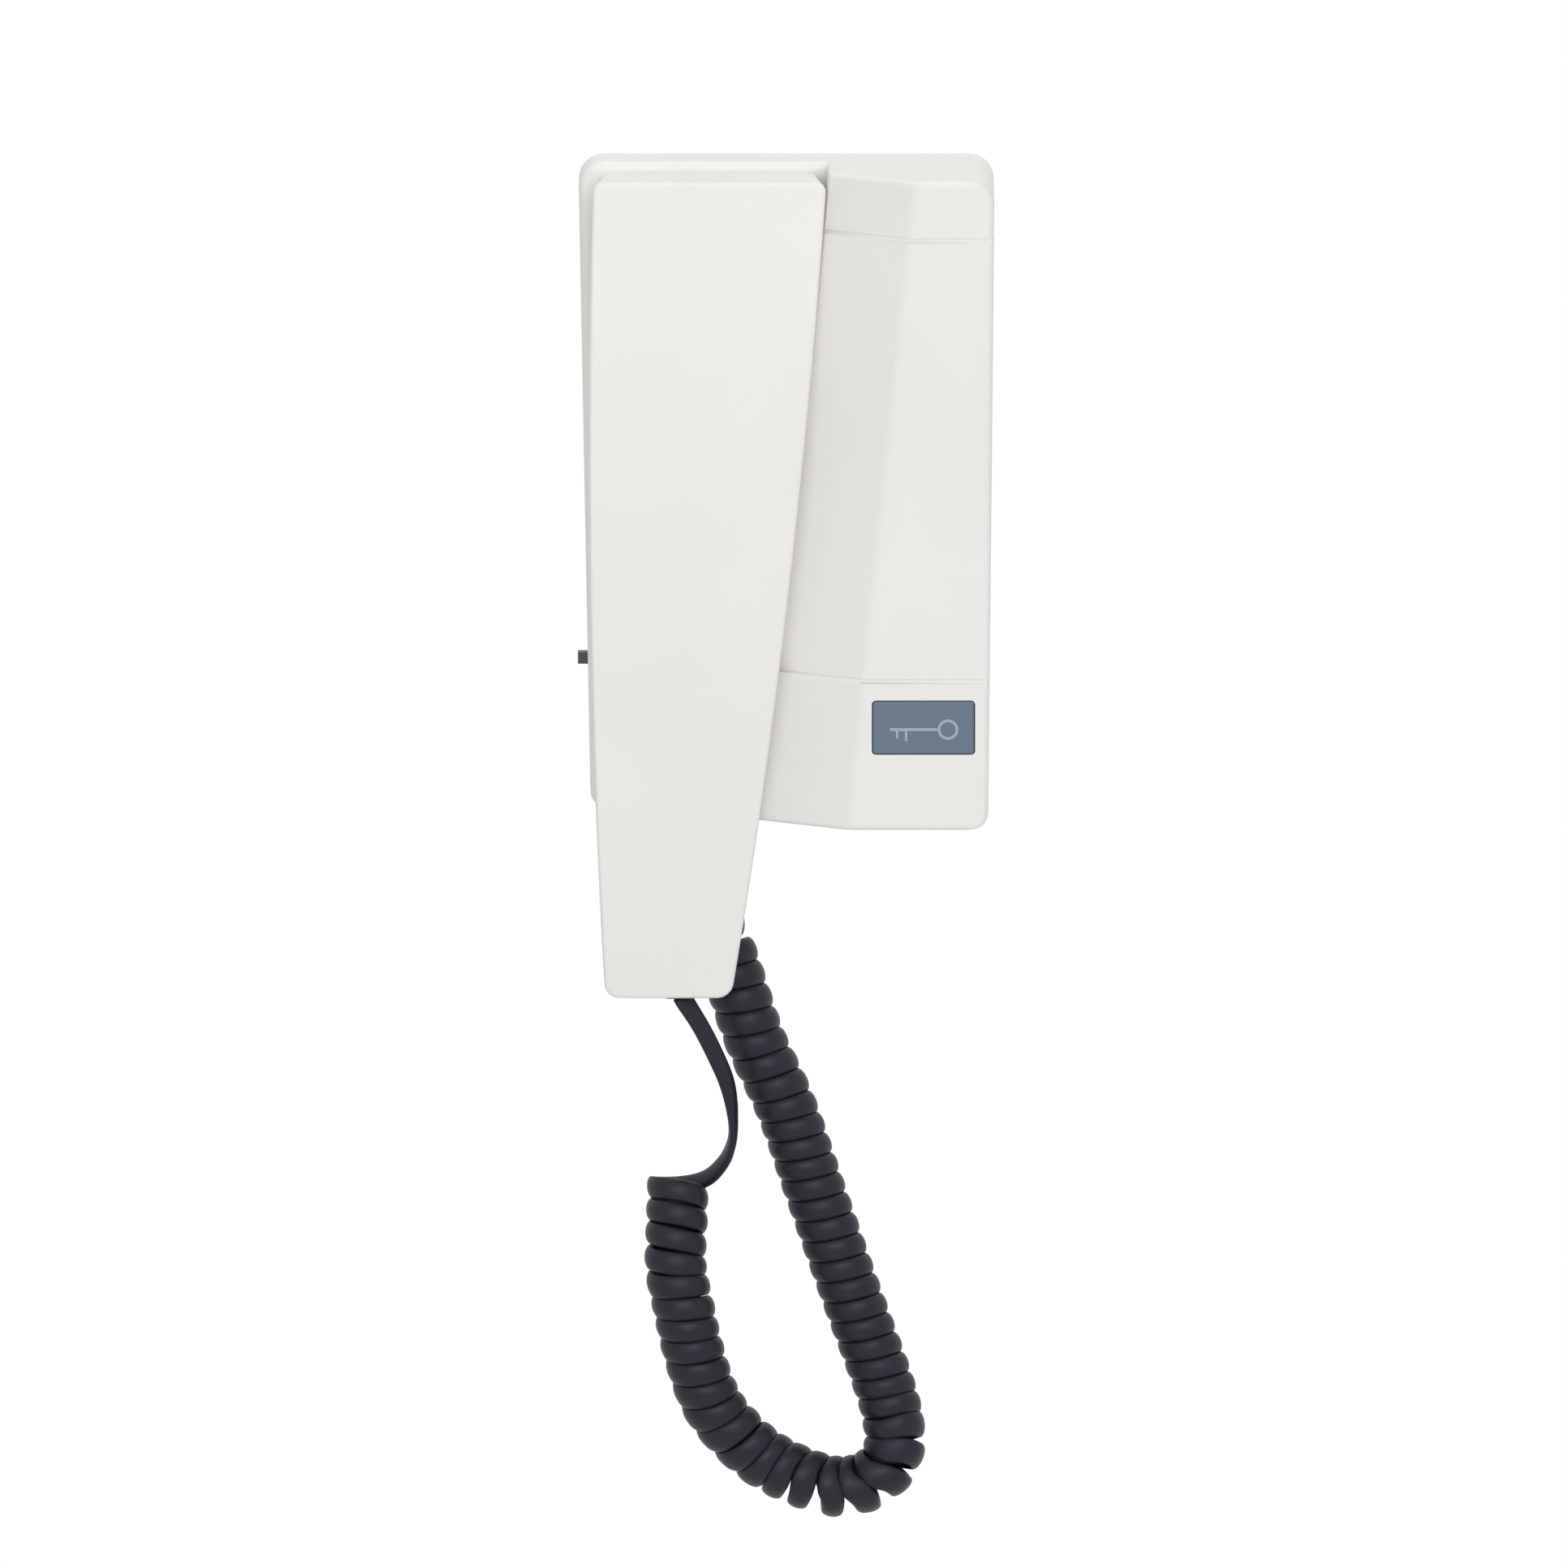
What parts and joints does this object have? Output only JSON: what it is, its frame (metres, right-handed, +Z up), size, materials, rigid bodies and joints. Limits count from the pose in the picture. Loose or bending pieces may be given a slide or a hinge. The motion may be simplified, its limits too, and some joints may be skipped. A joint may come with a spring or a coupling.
{
  "type": "audio intercom handset",
  "caption": "Wall-hung audio intercom: a wedge-shaped base with a door button and a volume slider, and a long handset on a curly cord that lifts off its hook.",
  "frame": {"origin": "middle of the wall plate's back face, on the wall", "axes": "+Z up, +Y into the wall, +X to the right seen from the front; the front faces -Y"},
  "size_m": [0.1041, 0.04, 0.3448],
  "materials": {
    "white_plastic": "fine satin moulded surface",
    "button_plastic": "satin",
    "dark_plastic": "satin",
    "pale_plastic": "satin",
    "board": "satin solder mask",
    "terminal_plastic": "satin",
    "steel": "zinc plated",
    "capsule_metal": "matt",
    "cord_rubber": "smooth satin cord jacket"
  },
  "bodies": {
    "base": {"wall_plate": "white_plastic", "front_cover": "white_plastic", "cover_screws": "steel", "main_board": "board", "board_screws": "steel", "board_parts": "dark_plastic", "terminal_block": "terminal_plastic", "terminal_screws": "steel", "ringer": "dark_plastic", "hook_switch": "dark_plastic", "hook_pin": "steel", "hook_spring": "steel", "door_switch": "dark_plastic", "volume_switch": "steel", "base_cord_bush": "cord_rubber", "base_lead": "cord_rubber", "curly_cord": "cord_rubber"},
    "handset": {"handset_front": "white_plastic", "handset_back": "white_plastic", "handset_screws": "steel", "receiver": "capsule_metal", "receiver_gasket": "cord_rubber", "microphone": "capsule_metal", "microphone_boot": "cord_rubber", "handset_cord_bush": "cord_rubber", "handset_lead": "cord_rubber"},
    "hook_lever": {"hook_lever": "dark_plastic"},
    "door_button": {"door_button": "button_plastic", "door_switch_stem": "pale_plastic"},
    "volume_knob": {"volume_knob": "dark_plastic"}
  },
  "joints": [
    {"name": "handset_lift", "type": "slide", "parent": "base", "child": "handset", "axis": [0, -0.8192, 0.5736], "range_m": [0, 0.08]},
    {"name": "hook_lever_swing", "type": "hinge", "parent": "base", "child": "hook_lever", "pos_m": [0.00232, -0.0063, 0.01], "axis": [0, 0, 1], "range_deg": [0, 12]},
    {"name": "door_button_press", "type": "slide", "parent": "base", "child": "door_button", "axis": [0, 1, 0], "range_m": [0, 0.001], "stiffness_N_per_m": 800},
    {"name": "volume_knob_slide", "type": "slide", "parent": "base", "child": "volume_knob", "axis": [0, 0, 1], "range_m": [0, 0.003]}
  ],
  "couplings": [
    {"joint": "hook_lever_swing", "follows": "handset_lift", "rad_per_m": 2.6}
  ]
}
